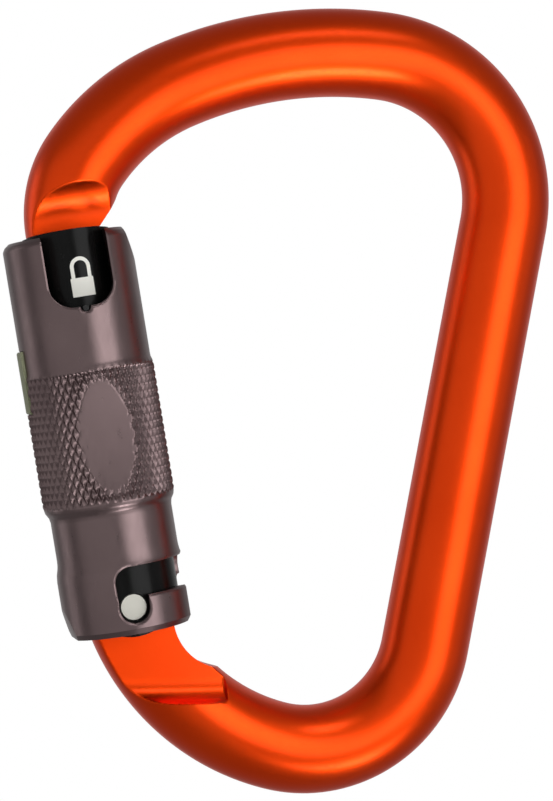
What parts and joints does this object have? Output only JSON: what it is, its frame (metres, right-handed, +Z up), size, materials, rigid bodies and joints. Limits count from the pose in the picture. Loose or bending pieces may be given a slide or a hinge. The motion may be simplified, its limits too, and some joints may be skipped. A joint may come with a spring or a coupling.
{
  "type": "locking carabiner",
  "caption": "Large pear-shaped locking carabiner: orange round-bar body, black hinged gate and a dark knurled sleeve that slides, twists and is freed by a side button.",
  "frame": {"origin": "highest inside point of the wide end of the body, where it hangs on a rope or anchor, in the body's middle plane", "axes": "+Z is up the long way from the narrow end to the wide end, +X across the opening from the gate to the spine, +Y to the back face; the front face with the lock window looks along -Y"},
  "size_m": [0.0826, 0.0194, 0.1169],
  "materials": {
    "body_orange": "orange anodised aluminium, fine satin",
    "gate_black": "black anodised aluminium, polished",
    "sleeve_grey": "gunmetal anodised aluminium, satin, knurled band",
    "rivet_steel": "stainless steel, satin",
    "spring_steel": "spring wire",
    "spring_black": "black coated spring wire, glossy",
    "inner_steel": "turned stainless steel",
    "ring_bronze": "bronze bearing ring",
    "button_olive": "olive grey anodised aluminium, matte",
    "mark_white": "cream white printed ink"
  },
  "bodies": {
    "body": {"frame": "body_orange"},
    "gate": {"gate": "gate_black", "hinge_rivet": "rivet_steel", "gate_spring": "spring_steel", "retaining_clip": "spring_steel", "spring_washer": "inner_steel", "sleeve_spring": "spring_steel", "lock_mark": "mark_white"},
    "plunger": {"gate_plunger": "inner_steel"},
    "slip_ring": {"slip_ring": "ring_bronze"},
    "sleeve": {"sleeve": "sleeve_grey", "twist_spring": "spring_black", "button_spring": "spring_steel"},
    "button": {"release_button": "button_olive"}
  },
  "joints": [
    {"name": "gate_open", "type": "hinge", "parent": "body", "child": "gate", "pos_m": [-0.03114, 0, -0.07513], "axis": [0, 1, 0], "range_deg": [0, 30], "stiffness_Nm_per_rad": 0.4, "springref_deg": -20.05},
    {"name": "plunger_slide", "type": "slide", "parent": "gate", "child": "plunger", "axis": [-0.1633, 0, 0.9866], "range_m": [0, 0.0022], "deforming": ["gate_spring"]},
    {"name": "sleeve_slide", "type": "slide", "parent": "gate", "child": "slip_ring", "axis": [0.1633, 0, -0.9866], "range_m": [0, 0.0032], "stiffness_N_per_m": 600, "springref_m": -0.004, "deforming": ["sleeve_spring"]},
    {"name": "sleeve_twist", "type": "hinge", "parent": "slip_ring", "child": "sleeve", "pos_m": [-0.03114, 0, -0.07513], "axis": [0.1633, 0, -0.9866], "range_deg": [0, 90], "stiffness_Nm_per_rad": 0.03, "springref_deg": -45.84, "deforming": ["twist_spring"]},
    {"name": "button_press", "type": "slide", "parent": "sleeve", "child": "button", "axis": [0.9866, 0, 0.1633], "range_m": [0, 0.0007], "stiffness_N_per_m": 2500, "springref_m": -0.001, "deforming": ["button_spring"]}
  ],
  "couplings": [
    {"joint": "plunger_slide", "follows": "gate_open", "m_per_rad": 0.004}
  ]
}
